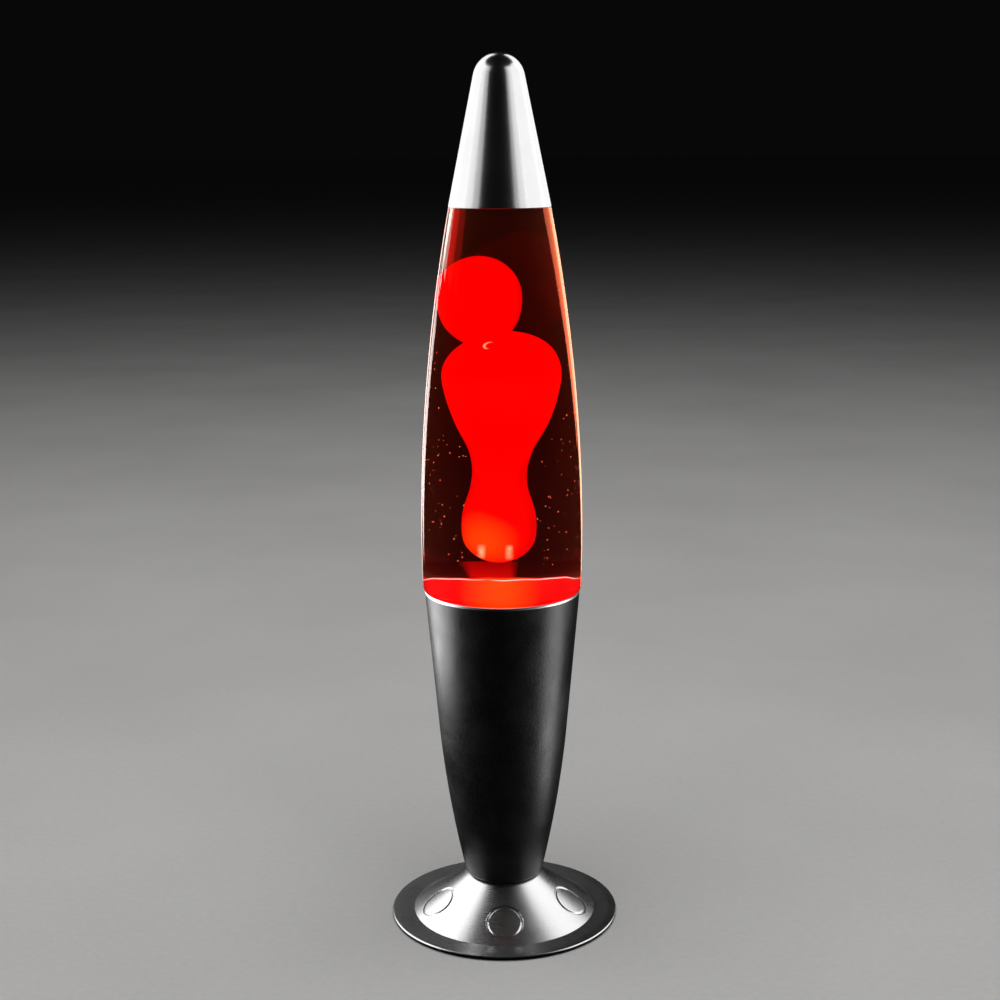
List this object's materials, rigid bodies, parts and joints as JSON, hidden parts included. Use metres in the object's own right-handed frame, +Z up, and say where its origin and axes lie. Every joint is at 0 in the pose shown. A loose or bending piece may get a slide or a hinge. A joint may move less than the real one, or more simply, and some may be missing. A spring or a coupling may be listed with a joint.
{
  "type": "lava lamp",
  "caption": "Tall lava lamp: flared metal foot, black base cone with a reflector bulb inside, lift-out glass bottle of red wax in liquid, and a pointed metal cap that lifts off.",
  "frame": {"origin": "centre of the foot on the surface that the lamp stands on", "axes": "+Z up along the lamp's axis, -Y towards the front, +Y towards the cable outlet at the back"},
  "size_m": [0.1101, 0.11, 0.4115],
  "materials": {
    "satin_aluminium": "satin",
    "black_coat": "satin black",
    "plate_steel": "black",
    "pad_rubber": "matt",
    "zinc_steel": "zinc plated",
    "holder_plastic": "moulded",
    "contact_brass": "plain",
    "cap_nickel": "nickel plated",
    "solder": "dull solder",
    "black_insulator": "black glass",
    "bulb_envelope": "silvered bowl, frosted face",
    "stem_glass": "clear",
    "tungsten": "drawn wire",
    "clear_glass": "clear",
    "red_liquid": "clear tinted liquid",
    "red_wax": "translucent wax",
    "coil_wire": "drawn wire",
    "crown_tin": "tin plate",
    "liner": "matt"
  },
  "bodies": {
    "base": {"foot": "satin_aluminium", "bottom_plate": "plate_steel", "rubber_feet": "pad_rubber", "base_cone": "black_coat", "cable_grommet": "pad_rubber", "threaded_stem": "zinc_steel", "stem_washers": "zinc_steel", "lower_nut": "zinc_steel", "upper_nut": "zinc_steel", "lampholder_cup": "holder_plastic", "terminal_block": "holder_plastic", "lampholder_sleeve": "holder_plastic", "screw_shell": "contact_brass", "centre_contact": "contact_brass", "terminal_screws": "contact_brass"},
    "bulb_contact": {"bulb_end_contact": "solder"},
    "bulb": {"bulb_insulator": "black_insulator", "bulb_screw_cap": "cap_nickel", "bulb_glass": "bulb_envelope", "bulb_stem": "stem_glass", "filament_leads": "tungsten", "bulb_filament": "tungsten"},
    "bottle": {"bottle_glass": "clear_glass", "wire_coil": "coil_wire", "wax_pool": "red_wax", "liquid": "red_liquid", "crown_liner": "liner", "crown_cap": "crown_tin"},
    "wax_column": {"wax_column": "red_wax"},
    "wax_bubble": {"wax_bubble": "red_wax"},
    "pointed_cap": {"pointed_cap": "satin_aluminium"}
  },
  "joints": [
    {"name": "bottle_lift", "type": "slide", "parent": "base", "child": "bottle", "axis": [0, 0, 1], "range_m": [0, 0.065]},
    {"name": "cap_lift", "type": "slide", "parent": "bottle", "child": "pointed_cap", "axis": [0, 0, 1], "range_m": [0, 0.045]},
    {"name": "wax_column_rise", "type": "slide", "parent": "bottle", "child": "wax_column", "axis": [0, 0, 1], "range_m": [-0.006, 0], "deforming": ["liquid"]},
    {"name": "wax_bubble_rise", "type": "slide", "parent": "bottle", "child": "wax_bubble", "axis": [0, 0, 1], "range_m": [0, 0.008]},
    {"name": "bulb_rise", "type": "slide", "parent": "base", "child": "bulb_contact", "axis": [0, 0, 1], "range_m": [0, 0.0141]},
    {"name": "bulb_turn", "type": "hinge", "parent": "bulb_contact", "child": "bulb", "pos_m": [0, 0, 0.05], "axis": [0, 0, 1], "range_deg": [0, 1795]}
  ],
  "couplings": [
    {"joint": "bulb_rise", "follows": "bulb_turn", "m_per_rad": 0.00044977}
  ]
}
